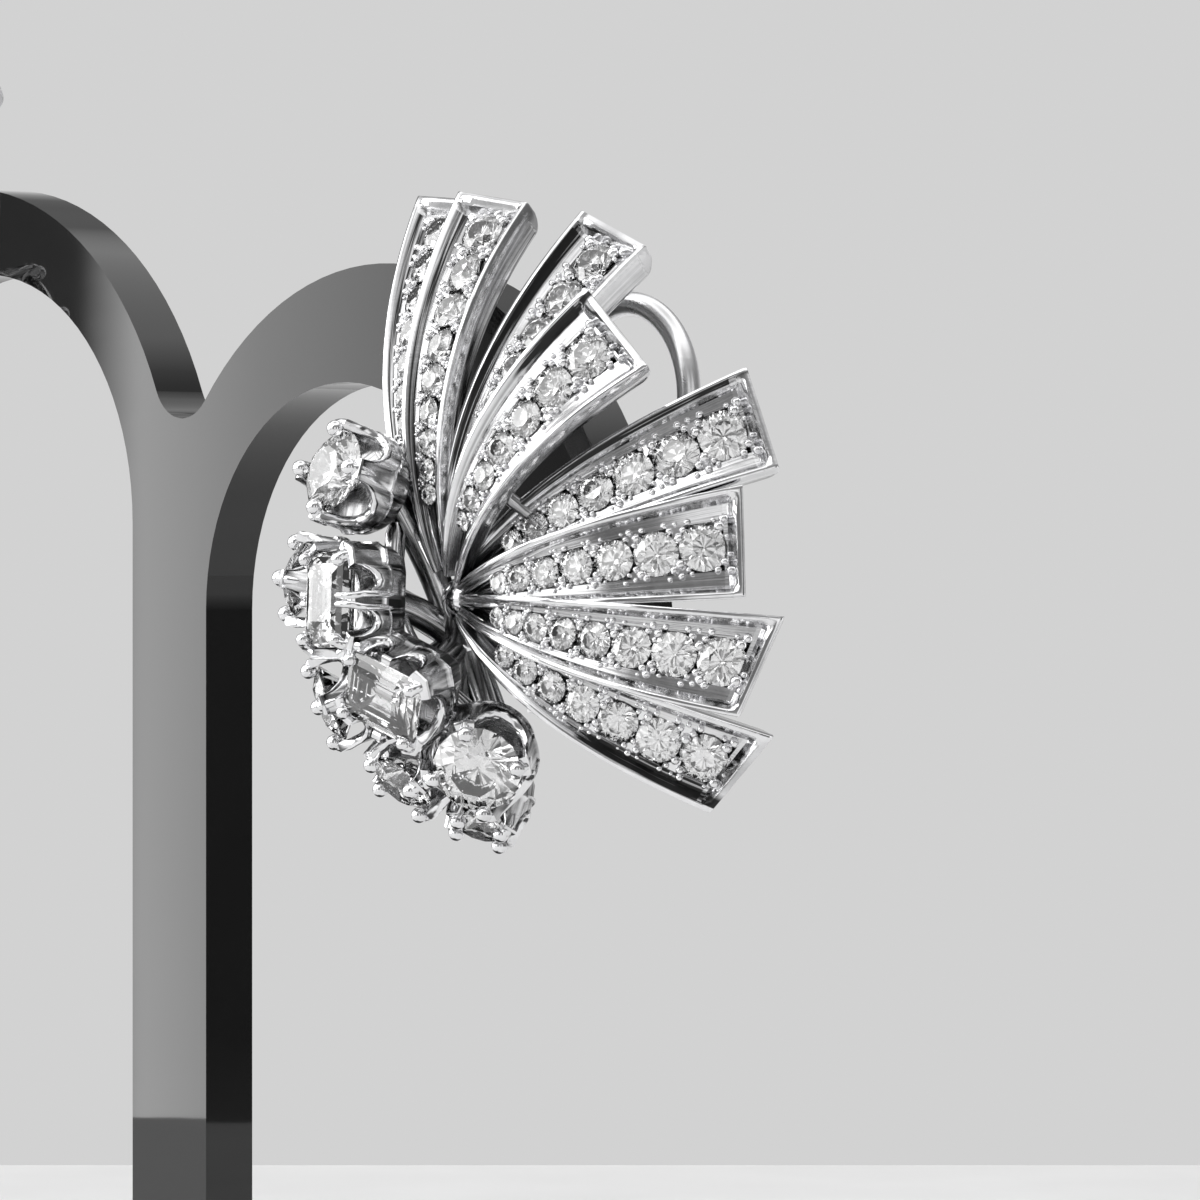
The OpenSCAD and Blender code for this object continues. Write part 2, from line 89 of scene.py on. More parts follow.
# Handling marks: soft smears, and fine scratches that run mostly one way
marks, marks_in, marks_out = new_group("handling_marks", {"Size": 900, "Stretch": 9}, ["Smear", "Scratch"])
on_piece = add_node(marks, "ShaderNodeTexCoord").outputs["Object"]
stretch = add_node(marks, "ShaderNodeCombineXYZ", {"X": 1, "Y": 1}, {"Z": marks_in.outputs["Stretch"]})
along = add_node(
    marks, "ShaderNodeVectorMath", links={0: on_piece, 1: stretch.outputs[0]}, operation="MULTIPLY"
)
smear = add_node(
    marks,
    "ShaderNodeTexNoise",
    {"Detail": 4, "Roughness": 0.6},
    {"Vector": on_piece, "Scale": marks_in.outputs["Size"]},
)
scratch = add_node(
    marks,
    "ShaderNodeTexNoise",
    {"Detail": 2, "Roughness": 0.5},
    {"Vector": along.outputs[0], "Scale": marks_in.outputs["Size"]},
)
marks.links.new(smear.outputs["Fac"], marks_out.inputs["Smear"])
marks.links.new(scratch.outputs["Fac"], marks_out.inputs["Scratch"])


# Painted shade: darkening painted into the corners and hollows of the metal, in streaks along a piece that
# was drawn to length.
# Each vertex carries how far along and round the piece it lies and how much painted shade it takes. Filed
# places lie at -1 along the piece, and get an even mean in place of the streaks.
STREAK_SPREAD = (0.12, 5, 0)
shade_nodes, _, shade_nodes_out = new_group("painted_shade_group", {}, ["Soil", "Streak"])
drawn_at = add_node(shade_nodes, "ShaderNodeAttribute", attribute_name="drawn").outputs["Vector"]
drawn_parts = add_node(shade_nodes, "ShaderNodeSeparateXYZ", links={0: drawn_at})
spread = add_node(shade_nodes, "ShaderNodeVectorMath", {1: STREAK_SPREAD}, {0: drawn_at}, operation="MULTIPLY")
streaks = add_node(
    shade_nodes, "ShaderNodeTexNoise", {"Scale": 1, "Detail": 3, "Roughness": 0.6}, {"Vector": spread.outputs[0]}
)
unfiled = add_node(shade_nodes, "ShaderNodeMapRange", ranged(-0.5, 0.5), {"Value": drawn_parts.outputs["X"]})
streak = add_node(
    shade_nodes,
    "ShaderNodeMix",
    {"A": 0.5},
    {"Factor": unfiled.outputs[0], "B": streaks.outputs["Fac"]},
    data_type="FLOAT",
)
patches = add_node(shade_nodes, "ShaderNodeMapRange", ranged(0.38, 0.6, 0.25, 1.5), {"Value": streak.outputs[0]})
shade = add_node(
    shade_nodes,
    "ShaderNodeMath",
    links={0: drawn_parts.outputs["Z"], 1: patches.outputs[0]},
    operation="MULTIPLY",
    use_clamp=True,
)
shade_nodes.links.new(shade.outputs[0], shade_nodes_out.inputs["Soil"])
shade_nodes.links.new(streak.outputs[0], shade_nodes_out.inputs["Streak"])


# Between which values of the smears' noise the colour and the roughness change, how deep the scratches are
# in metres, and how much rougher the surface is made where painted shade lies
SMEAR_COLOURS = (0.35, 0.72)
SMEAR_SHINE = (0.3, 0.7)
SCRATCH_DEPTH = 0.00002
SHADE_ROUGHENS = 0.25


def marked_material(name, dark, light, size, stretch, roughness, bump, drawn=None, shade=None, **plain):
    """A principled material whose colour, roughness and bump follow the handling marks.
    Drawn is the height of the streaks along a drawn piece, and the colour given after it is that of the
    painted shade in its corners and hollows."""
    material = bpy.data.materials.new(name)
    material.use_nodes = True
    tree = material.node_tree
    surface = tree.nodes["Principled BSDF"]
    for socket, value in plain.items():
        surface.inputs[socket.replace("_", " ").title().replace("Ior", "IOR")].default_value = value
    found = add_node(tree, "ShaderNodeGroup", node_tree=marks)
    found.inputs["Size"].default_value = size
    found.inputs["Stretch"].default_value = stretch
    colour = colour_ramp(tree, found.outputs["Smear"], zip(SMEAR_COLOURS, (dark, light)))
    rough = add_node(
        tree, "ShaderNodeMapRange", ranged(*SMEAR_SHINE, *roughness), {"Value": found.outputs["Smear"]}
    )
    roughened = rough.outputs[0]
    relief = add_node(
        tree,
        "ShaderNodeBump",
        {"Strength": bump, "Distance": SCRATCH_DEPTH},
        {"Height": found.outputs["Scratch"]},
    )
    # Painted shade: where the vertices ask for it the colour is darkened toward the shade colour and the
    # surface made rougher
    if shade:
        shading = add_node(tree, "ShaderNodeGroup", node_tree=shade_nodes)
        shade_mixed = add_node(
            tree, "ShaderNodeMix", {"B": shade}, {"Factor": shading.outputs["Soil"]}, data_type="RGBA"
        )
        tree.links.new(colour, shade_mixed.inputs["A"])
        colour = shade_mixed.outputs["Result"]
        dull = add_node(
            tree,
            "ShaderNodeMath",
            {1: SHADE_ROUGHENS},
            {0: shading.outputs["Soil"], 2: roughened},
            operation="MULTIPLY_ADD",
        )
        roughened = dull.outputs[0]
        if drawn:
            relief = add_node(
                tree,
                "ShaderNodeBump",
                {"Strength": 1, "Distance": drawn},
                {"Height": shading.outputs["Streak"], "Normal": relief.outputs[0]},
            )
    tree.links.new(colour, surface.inputs["Base Color"])
    tree.links.new(roughened, surface.inputs["Roughness"])
    tree.links.new(relief.outputs[0], surface.inputs["Normal"])
    return material


acrylic = marked_material(
    "dark_acrylic",
    dark=ACRYLIC_COLOUR,
    light=ACRYLIC_DUST,
    size=60,
    stretch=4,
    roughness=(0.01, 0.03),
    bump=0.1,
    coat_weight=0.3,
    coat_roughness=0.02,
    ior=1.49,
)


def refinish(node, material):
    """Gives a CAD node a better material in each of its slots"""
    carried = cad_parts[node]
    for k in range(max(1, len(carried.material_slots))):
        if k < len(carried.material_slots):
            carried.material_slots[k].material = material
        else:
            carried.data.materials.append(material)


for node in ("stand_plate", "stand_foot"):
    refinish(node, acrylic)


# The fan of each earring: eight channel-shaped rays of white metal, cast and soldered to a hub.
# Their rims are thin and rounded, and their inner walls slope to a bed that is pierced under the stones.
# Each earring is drawn in millimetres round its own hub, and carried to its arm at the end.
# Where each hub lies, in metres; the other lengths of an earring are in millimetres
HUB_PLACE = {"right": (0.0306697, -0.0059, 0.039), "left": (-0.0313487, -0.0059, 0.05)}
LEFT_TURN = 14
FAN_REACH = 21.4
FAN_DEPTH = 7
RAY_BULGE = 3
RAY_W = 5.3
RAY_H = 1.8
RIM_W = 0.28
BED_DEPTH = 0.6
RAY_STONE_D = 2.45
# The share of a ray's length at which its channel begins
HUB_T = 0.07
STONE_GAP = 0.12
LEAST_STONE_D = 1
# The stones' room to the walls, the metal under the bed and the tip stone's room to the end wall
SEAT_MARGIN = 0.07
BED_FLOOR = 0.25
TIP_MARGIN = 0.35
# The shelf along the foot of each inner wall
SHELF_W = 0.4
# The rays, from the cluster's top round to its foot. Reach is a share of the fan's reach and back one of its
# depth. Skew is how far the end is turned within the fan and roll how far it leans forward on its lower side,
# in degrees. Width and stone are shares of the ray's and the tip stone's width, and the last is how black the
# lower wall is painted outside, as painted shade and a painted reflection of the dark stand.
Ray = namedtuple("Ray", "angle reach back skew roll width stone tarnish")
RAYS = [
    Ray(-22, 1.01, 0.9, 27, 0, 0.88, 1, 0.2),
    Ray(-6.5, 0.93, 0.64, 15, -1, 1, 1, 0.6),
    Ray(14.3, 0.87, 0.92, 7, 1, 1, 1, 0.3),
    Ray(36.8, 0.76, 0.33, 10, -9, 1.01, 1, 0.4),
    Ray(58, 0.77, 1.12, 7, -1, 1.01, 1.06, 0.3),
    Ray(79, 0.69, 0.89, 4, 4, 1.02, 1, 0.2),
    Ray(100.6, 0.80, 0.75, 6, 18, 0.98, 1, 0.3),
    Ray(122, 0.735, 1.01, 2, 23, 0.9, 1, 1),
]

# The near-black colour of the painted shade in the metal's corners and hollows
SHADE_COLOUR = (0.035, 0.035, 0.035, 1)
METAL_DARK = (0.8, 0.8, 0.81, 1)
METAL_LIGHT = (0.94, 0.94, 0.95, 1)
white_metal = marked_material(
    "white_metal",
    dark=METAL_DARK,
    light=METAL_LIGHT,
    size=900,
    stretch=5,
    roughness=(0.05, 0.14),
    bump=0.3,
    shade=SHADE_COLOUR,
    metallic=1,
)
drawn_metal = marked_material(
    "drawn_metal",
    dark=METAL_DARK,
    light=METAL_LIGHT,
    size=900,
    stretch=5,
    roughness=(0.05, 0.12),
    bump=0.2,
    drawn=0.000012,
    shade=SHADE_COLOUR,
    metallic=1,
)


def on_arm(side):
    """From an earring's own frame to its place on the stand; the left one is the mirror image"""
    turn = Matrix.Rotation(math.radians(LEFT_TURN if side == "left" else 0), 4, "Y")
    flip = Matrix.Scale(-1 if side == "left" else 1, 4, (1, 0, 0))
    return Matrix.Translation(HUB_PLACE[side]) @ turn @ flip @ Matrix.Scale(0.001, 4)


def ray_direction(ray):
    angle = math.radians(ray.angle)
    return Vector((math.sin(angle), 0, math.cos(angle)))


def ray_point(ray, t):
    back = t * FAN_DEPTH * ray.back - 4 * RAY_BULGE * t * (1 - t)
    return t * FAN_REACH * ray.reach * ray_direction(ray) + Vector((0, back, 0))


def ray_run(ray, t):
    back = FAN_DEPTH * ray.back - 4 * RAY_BULGE * (1 - 2 * t)
    return FAN_REACH * ray.reach * ray_direction(ray) + Vector((0, back, 0))


def ray_axes(ray, t):
    """Across and out of the channel at a share t of its length"""
    turn = math.radians(ray.angle + ray.skew * t**3)
    roll = math.radians(ray.roll * t * t)
    across = Vector((math.cos(turn), 0, -math.sin(turn))) * math.cos(roll) - Vector((0, math.sin(roll), 0))
    return across, across.cross(ray_run(ray, t).normalized()).normalized()


def share_at(t):
    """The share of its full width that a ray has at a share t of its length"""
    return t**0.65


def grown(t):
    """The share of their full size that the wall's height and the bed's depth have there"""
    return 0.4 + 0.6 * share_at(t)


def wall_at(t):
    return RAY_H * grown(t)


def half_at(ray, t):
    return ray.width * RAY_W * share_at(t) / 2


def inside_at(ray, t):
    return half_at(ray, t) - min(RIM_W, half_at(ray, t) * 0.25)


def stone_d_at(ray, t):
    return RAY_STONE_D * ray.stone * share_at(t)


def clear_share(ray, t):
    """The share of the slopes' depth at which the channel is as wide as its stone needs"""
    return 1 - (stone_d_at(ray, t) / 2 + SEAT_MARGIN) / inside_at(ray, t)


def deep_at(ray, t):
    """The depth at which the slopes of both walls would meet"""
    return min(BED_DEPTH * grown(t) / clear_share(ray, t), wall_at(t) - BED_FLOOR)


def stone_places(ray):
    """The shares of the ray's length at which its stones sit, from the tip inward"""
    from_end = RIM_W + BED_DEPTH * 0.3 + RAY_STONE_D * ray.stone / 2 + TIP_MARGIN
    t = 1 - from_end / ray_run(ray, 1).length
    found = []
    while RAY_STONE_D * share_at(t) >= LEAST_STONE_D:
        found.append(t)
        guess = t - stone_d_at(ray, t) / ray_run(ray, t).length
        mean_d = (stone_d_at(ray, t) + stone_d_at(ray, guess)) / 2
        t -= (mean_d + STONE_GAP) / ray_run(ray, (t + guess) / 2).length
    return found


def new_shape():
    """An empty mesh whose vertices remember their place in the ring that they were drawn in"""
    bm = bmesh.new()
    bm.verts.layers.int.new("place")
    bm.verts.layers.float_vector.new("drawn")
    return bm


def lofted(bm, rings, shades, filed=0, fine=1):
    """Draws the first ring of points, extrudes it from ring to ring and closes both ends.
    Each vertex keeps how far along and how far round it lies, in millimetres, and how much painted shade it
    takes:
    the list after the rings holds, for each ring, the painted shade at each of its points.
    The last rings may be filed, which leaves no streaks there, and fine is how close the streaks lie."""
    place = bm.verts.layers.int["place"]
    drawn = bm.verts.layers.float_vector["drawn"]
    widest = max(rings, key=lambda ring: sum((b - a).length for a, b in zip(ring, ring[1:])))
    rounds = [0]
    for a, b in zip(widest, widest[1:]):
        rounds.append(rounds[-1] + fine * (b - a).length)
    verts = [bm.verts.new(point) for point in rings[0]]
    for k, vert in enumerate(verts):
        vert[place] = k
        vert[drawn] = (0, rounds[k], shades[0][k])
    edges = [bm.edges.new((verts[k - 1], verts[k])) for k in range(len(verts))]
    start = edges
    along = 0
    for k, (last, ring) in enumerate(zip(rings, rings[1:])):
        along += (ring[0] - last[0]).length
        made = bmesh.ops.extrude_edge_only(bm, edges=edges)["geom"]
        edges = [g for g in made if isinstance(g, bmesh.types.BMEdge) and g.is_boundary]
        for vert in (g for g in made if isinstance(g, bmesh.types.BMVert)):
            point = vert[place]
            vert.co = ring[point]
            vert[drawn] = (-1 if k >= len(rings) - 1 - filed else along, rounds[point], shades[k + 1][point])
    for end in (start, edges):
        bmesh.ops.contextual_create(bm, geom=end)


def make_piece(bm, name, material, side, body="stand", sharp=32):
    """Carries a shape to its arm and makes it a piece that rides on a body"""
    bmesh.ops.transform(bm, matrix=on_arm(side), verts=bm.verts)
    bmesh.ops.recalc_face_normals(bm, faces=bm.faces)
    mesh = bpy.data.meshes.new(name)
    bm.to_mesh(mesh)
    bm.free()
    mesh.materials.append(material)
    mesh.polygons.foreach_set("use_smooth", [sharp > 0] * len(mesh.polygons))
    if sharp:
        mesh.set_sharp_from_angle(angle=math.radians(sharp))
    piece = bpy.data.objects.new(name, mesh)
    scene.collection.objects.link(piece)
    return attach(piece, body)


# How much painted shade the channel takes at each point of its section, most in the bed: inside from the
# bed's middle up to the rim, and outside from the rim down
INNER_SHADE = [1, 0.35, 0.4, 0.25, 0.35, 0.05, 0, 0, 0, 0]
OUTER_SHADE = [0, 0.6, 1, 1]
# Inner walls painted black, as painted shade and painted dark reflections, by the ray's angle and side: how
# black, from which share of the length to which, and at which points of the section
PAINTED_DARK_WALLS = {
    (-22, "left"): (0.8, 0, 1.1, (2, 3, 4)),
    (-22, "right"): (0.8, 0, 1.1, (2, 3, 4)),
    (-6.5, "left"): (0.8, 0, 1.1, (2, 3, 4)),
    (-6.5, "right"): (0.9, 0, 1.1, (1, 2, 3, 4)),
    (14.3, "left"): (2.2, 0.3, 1.1, (3, 4, 5)),
    (36.8, "left"): (3.5, 0.74, 1.1, (3, 4, 5)),
    (36.8, "right"): (0.7, 0.3, 1.1, (3, 4)),
    (58, "left"): (2.5, 0.25, 1.1, (5, 6)),
    (122, "left"): (1.5, 0.2, 0.6, (4, 5)),
    (122, "right"): (3.5, 0.62, 1.1, (2, 3, 4, 5)),
}


def channel(ray, t, opened, pierced, sunk=0, lifted=0):
    """The channel's section: up the left wall, over its rim, across the bed and down the right wall.
    Where the bed is pierced it is open under the stones. Opened is the share of its full depth,
    and its top is sunk and its back lifted where the tip is rounded."""
    half = half_at(ray, t)
    inside = inside_at(ray, t)
    lip = (half - inside) * 0.3
    bed = deep_at(ray, t) * clear_share(ray, t) * opened
    bed_half = stone_d_at(ray, t) / 2 + 0.04
    wall = wall_at(t)
    shelf = max(inside - SHELF_W * share_at(t), (inside + 2 * bed_half) / 3)
    step = inside - (inside - shelf) * 0.45
    right = [
        (bed_half * 0.3, -(wall - 0.1) if pierced else -bed),
        (bed_half, -bed * 1.03),
        (shelf, -bed * 0.94),
        (step - 0.05, -bed * 0.55),
        (step, -bed * 0.42),
        (inside - 0.3 * lip, -0.9 * lip * opened),
        (inside + 0.3 * lip, -0.25 * lip * opened),
        (inside + lip, 0),
        (half - lip, 0),
        (half - 0.3 * lip, -0.3 * lip),
        (half, -lip),
        (half * 0.98, -wall * 0.45),
        (half * 0.95, -wall * 0.85 + lifted),
        (half * 0.88, -wall + lifted),
    ]
    # The first eleven points are the inside and the rim, which sink together
    right = [(x, z - sunk * (1 if k < 11 else 0)) for k, (x, z) in enumerate(right)]
    across, up = ray_axes(ray, t)
    left = [(-x, z) for x, z in reversed(right)]
    return [ray_point(ray, t) + x * across + z * up for x, z in left + right]


def ray_channel(bm, ray):
    length = ray_run(ray, 1).length
    lip = RIM_W * 0.3
    end_slope = 0.5
    steps = 26
    level_until = 1 - (RIM_W + end_slope) / length
    stops = [HUB_T + (level_until - HUB_T) * k / steps for k in range(steps + 1)]
    tip_stone = stone_places(ray)[0]
    last_stone = tip_stone + 0.45 * stone_d_at(ray, tip_stone) / length
    stops = sorted(stops + [last_stone - 0.04 / length, last_stone])
    rings = [channel(ray, t, 1, t < last_stone) for t in stops]
    # Each step into the tip is its distance from the end, how open the channel is there
    # and how far the rim sinks
    tip = [
        (RIM_W + 0.62 * end_slope, 0.62, 0),
        (RIM_W + 0.57 * end_slope, 0.5, 0),
        (RIM_W + 0.06, 0.06, 0),
        (RIM_W - lip, 0, 0),
        (lip, 0, 0),
        (0.3 * lip, 0, 0.3 * lip),
        (0, 0, lip),
    ]
    # The underside is rounded up to the end
    under_r = 0.7
    for before, opened, sunk in tip:
        lifted = under_r * (1 - math.sqrt(max(0, 1 - (1 - min(before, under_r) / under_r) ** 2)))
        rings.append(channel(ray, 1 - before / length, opened, False, sunk, lifted))
    # The tip beyond the last stone takes less painted shade inside, and the painted black walls fade over a
    # twelfth of the length
    tip_shade = 0.35
    fade = 12
    shades = []
    for t in stops + [1] * len(tip):
        kept = 1 if t < last_stone else tip_shade
        halves = []
        # Outside, the left wall takes a fixed share of painted shade and the right wall its ray's own share
        for wall, outer in (("left", 0.4), ("right", ray.tarnish)):
            fully, start, end, points = PAINTED_DARK_WALLS.get((ray.angle, wall), (0, 0, 1, ()))
            black = fully * max(0, min(1, (t - start) * fade, (end - t) * fade))
            inside = [max(share, black) if k in points else share for k, share in enumerate(INNER_SHADE)]
            halves.append([kept * share for share in inside] + [outer * share for share in OUTER_SHADE])
        shades.append(halves[0][::-1] + halves[1])
    lofted(bm, rings, shades, filed=len(tip))


for side in ("right", "left"):
    for k, ray in enumerate(RAYS):
        shape = new_shape()
        ray_channel(shape, ray)
        piece = make_piece(shape, f"{side}_ray_{k + 1}", drawn_metal, side)
        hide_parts(f"{side}_frame")


# The rows of small round diamonds, one row in the channel of each ray, smaller toward the hub.
# They are old brilliant cuts, each turned its own way, and sit just below the rims, held by grains.
# They are drawn a little larger than their solids, so that their edges reach the grains.
Cut = namedtuple("Cut", "table crown mid pavilion low")
SMALL_CUT = Cut(0.5, 0.34, 0.76, 0.84, 0.4)
GIRDLE = 0.02
CULET = 0.03
STONE_FILLS = 1.03
CLOUDED = (0.9, 0.9, 0.91, 1)
CLEAR = (1, 1, 1, 1)

diamond = bpy.data.materials.new("diamond")
diamond.use_nodes = True
gem_tree = diamond.node_tree
gem = gem_tree.nodes["Principled BSDF"]
for socket, value in {"Transmission Weight": 1, "IOR": 2.42, "Metallic": 0}.items():
    gem.inputs[socket].default_value = value
clouds = add_node(gem_tree, "ShaderNodeGroup", node_tree=marks)
clouds.inputs["Size"].default_value = 1500
clouds.inputs["Stretch"].default_value = 1
tint = colour_ramp(gem_tree, clouds.outputs["Smear"], [(0.3, CLOUDED), (0.6, CLEAR)])
gem_tree.links.new(tint, gem.inputs["Base Color"])
polish = add_node(
    gem_tree, "ShaderNodeMapRange", ranged(0.45, 0.8, 0, 0.05), {"Value": clouds.outputs["Scratch"]}
)
gem_tree.links.new(polish.outputs[0], gem.inputs["Roughness"])


def seat(ray, t):
    """The frame of the channel's bed at a share t: x across, y along and z out of it"""
    along = ray_run(ray, t).normalized()
    up = ray_axes(ray, t)[1]
    side_way = along.cross(up)
    origin = ray_point(ray, t) - deep_at(ray, t) * clear_share(ray, t) * up
    turn = Matrix((side_way, along, up)).transposed().to_4x4()
    return Matrix.Translation(origin) @ turn


def circle_at(bm, count, radius, height, turn=0):
    """Adds a ring of loose points and gives them back"""
    matrix = Matrix.Translation((0, 0, height)) @ Matrix.Rotation(turn, 4, "Z")
    return bmesh.ops.create_circle(bm, segments=count, radius=radius, matrix=matrix)["verts"]


def brilliant(bm, radius, cut, place):
    """A round brilliant: its facets are the hull of the points where they meet"""
    eighth = math.pi / 8
    slope = cut.crown / (1 - cut.table)
    lean = math.cos(eighth)
    points = circle_at(bm, 8, cut.table, cut.crown)
    points += circle_at(bm, 8, cut.mid, cut.crown - (cut.mid * lean - cut.table) * slope, eighth)
    points += circle_at(bm, 16, 1, GIRDLE)
    points += circle_at(bm, 16, 1, -GIRDLE)
    points += circle_at(bm, 8, cut.low, -cut.pavilion + cut.low * lean * (cut.pavilion - GIRDLE), eighth)
    points += circle_at(bm, 4, CULET, -cut.pavilion)
    made = bmesh.ops.convex_hull(bm, input=points)
    bmesh.ops.delete(bm, geom=made["geom_interior"] + made["geom_unused"], context="VERTS")
    shape = [v for v in points if v.is_valid]
    bmesh.ops.transform(bm, matrix=place @ Matrix.Scale(radius, 4), verts=shape)


for side in ("right", "left"):
    for k, ray in enumerate(RAYS):
        shape = bmesh.new()
        for n, t in enumerate(stone_places(ray)):
            lean = Matrix.Rotation(0.1 * math.sin(5 * n + k), 4, "X")
            lean = lean @ Matrix.Rotation(0.1 * math.sin(3 * n + 2 * k), 4, "Y")
            tilt = lean @ Matrix.Rotation(0.7 * n + k, 4, "Z")
            brilliant(shape, STONE_FILLS * stone_d_at(ray, t) / 2, SMALL_CUT, seat(ray, t) @ tilt)
        piece = make_piece(shape, f"{side}_row_{k + 1}_diamonds", diamond, side, sharp=0)
        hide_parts(f"{side}_ray_stones_{k + 1}")


# The grains: small beads of the rays' own metal, raised from the bed and pushed over the stones' edges.
# They stand on the webs that are left of the bed between two stones, along both walls and at each tip.
def stamp(bm, pattern, matrix):
    """Adds a copy of a small mesh at a place"""
    count = len(pattern.vertices)
    bm.from_mesh(pattern)
    bm.verts.ensure_lookup_table()
    for vert in bm.verts[-count:]:
        vert.co = matrix @ vert.co


def pattern_of(shape, name):
    mesh = bpy.data.meshes.new(name)
    shape.to_mesh(mesh)
    shape.free()
    return mesh


# The bead, and the three-cornered web of metal that it stands on
bead = bmesh.new()
bmesh.ops.create_uvsphere(bead, u_segments=8, v_segments=5, radius=1)
bead = pattern_of(bead, "bead")
web = bmesh.new()
web_place = Matrix.Rotation(math.pi, 4, "Z")
bmesh.ops.create_cone(web, cap_ends=True, segments=3, radius1=1.1, radius2=1, depth=1, matrix=web_place)
web = pattern_of(web, "web")

# Each grain of a gap lies at shares of the stones' radius across, along and out of the bed,
# and has a share of it as its own radius
GAP_GRAINS = [
    (0.56, 0, 0.1, 0.2),
    (0.86, 0.22, 0.1, 0.19),
    (0.85, -0.24, 0.06, 0.17),
    (1.12, 0.42, 0.04, 0.16),
    (1.14, -0.08, 0.02, 0.17),
    (1.17, -0.45, 0.02, 0.13),
]
TIP_GRAINS = [
    (0.74, 0.8, 0.1, 0.22),
    (1.04, 0.5, 0.06, 0.16),
    (1.08, 0.88, 0.04, 0.17),
    (0.38, 1.07, 0.04, 0.15),
]


def grain(bm, frame_there, radius, spot, side_way, count):
    """A bead at its spot, a little aside and larger or smaller from grain to grain"""
    across, along, out, size = [share * radius for share in spot]
    across += 0.05 * radius * math.sin(7.3 * count)
    along += 0.09 * radius * math.sin(4.1 * count + 1)
    size *= 1 + 0.28 * math.sin(2.7 * count)
    place = frame_there @ Matrix.Translation((side_way * across, along, out))
    stamp(bm, bead, place @ Matrix.Scale(size, 4))


for side in ("right", "left"):
    shape = bmesh.new()
    for ray in RAYS:
        places = stone_places(ray)
        count = 0
        for way in (-1, 1):
            for spot in TIP_GRAINS:
                count += 1
                grain(shape, seat(ray, places[0]), stone_d_at(ray, places[0]) / 2, spot, way, count)
            for t, following in zip(places, places[1:]):
                here = seat(ray, (t + following) / 2)
                radius = (stone_d_at(ray, t) + stone_d_at(ray, following)) / 4
                room = (inside_at(ray, (t + following) / 2) - SHELF_W * share_at(t)) / radius
                # A grain that would stand in the wall is left out
                for spot in GAP_GRAINS:
                    if spot[0] + spot[3] < room + 0.1:
                        count += 1
                        grain(shape, here, radius, spot, way, count)
                turn = Matrix.Rotation(0 if way > 0 else math.pi, 4, "Z")
                flat = Matrix.Diagonal((0.46 * radius, 0.46 * radius, 0.3, 1))
                stamp(shape, web, here @ turn @ Matrix.Translation((0.86 * radius, 0, -0.17)) @ flat)
    piece = make_piece(shape, f"{side}_grains", white_metal, side, sharp=60)
    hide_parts(f"{side}_frame")


# The cluster's settings: barrel-shaped cups with scalloped rims, whose peaks are drawn up to claws.
# Each claw grows out of a peak and ends in a polished ball on the stone's edge. The upright step cut is
# also held in the middle of its long sides, by pairs of thin wires bent over its edge.
ROUND_D = 4.3
STEP_L = 4.6
STEP_W = 3.8
CLUSTER_REACH = 10
SETTING_T = 0.45
SETTING_H = 3.2
CLAW_GAP = 0.07
# X, y and z run from the hub as shares of the cluster's reach. Size is a share of the round or step-cut size.
# Turn is to the right of straight ahead, lift is above it and spin is round the stone's own axis, in degrees.
Stone = namedtuple("Stone", "cut size x y z turn lift spin")
STONES = [
    Stone("round", 0.95, -0.32, -0.46, 0.62, -2, 18, 0),
    Stone("round", 0.84, -0.75, -0.33, 0.10, -55, 8, 0),
    Stone("step", 1.00, -0.30, -0.50, 0.00, -8, 2, 90),
    Stone("step", 0.96, 0.00, -0.41, -0.47, 10, -20, -25),
    Stone("round", 1.00, 0.33, -0.10, -0.81, 40, -22, 8),
    Stone("round", 0.88, -0.54, -0.30, -0.50, -42, -20, 0),
    Stone("round", 0.84, -0.13, -0.19, -0.88, -14, -46, 0),
    Stone("round", 0.74, 0.02, 0.18, -1.09, 5, -66, 0),
]


def stone_place(stone):
    return CLUSTER_REACH * Vector((stone.x, stone.y, stone.z))


def stone_frame(stone):
    """The stone's own frame: its girdle lies in the xy plane and its table faces z"""
    turn = Matrix.Rotation(math.radians(stone.turn), 4, "Z")
    lift = Matrix.Rotation(math.radians(90 - stone.lift), 4, "X")
    spin = Matrix.Rotation(math.radians(stone.spin), 4, "Z")
    return Matrix.Translation(stone_place(stone)) @ turn @ lift @ spin


def stone_halves(stone):
    size = (STEP_L, STEP_W) if stone.cut == "step" else (ROUND_D, ROUND_D)
    return stone.size * size[0] / 2, stone.size * size[1] / 2


def scallop(count):
    """Shares along a notch and how far the rim dips there, round at its bottom"""
    bends = [math.cos(math.pi * k / count) for k in range(1, count)]
    return [((1 - u) / 2, math.sqrt(1 - u * u)) for u in bends]


def cup_columns(stone):
    """Points round the cup as (x, y, dip), in shares of its half length and half width"""
    columns = []
    if stone.cut == "round":
        for quarter in (0, 90, 180, 270):
            columns += [(quarter + a, 0) for a in (-11, -5, 5, 11)]
            columns += [(quarter + 11 + 68 * s, dip) for s, dip in scallop(9)]
        return [(math.cos(math.radians(a)), math.sin(math.radians(a)), dip) for a, dip in columns]
    for way in (1, -1):
        side = [(1, -0.55, 0)] + [(1, -0.55 + 1.1 * s, dip) for s, dip in scallop(8)]
        side += [(1, 0.55, 0), (0.88, 0.9, 0), (0.62, 1, 0)]
        side += [(0.62 - 0.52 * s, 1, dip) for s, dip in scallop(8)] + [(0.1, 1, 0), (-0.1, 1, 0)]
        side += [(-0.1 - 0.52 * s, 1, dip) for s, dip in scallop(8)] + [(-0.62, 1, 0), (-0.88, 0.9, 0)]
        columns += [(way * x, way * y, dip) for x, y, dip in side]
    return columns


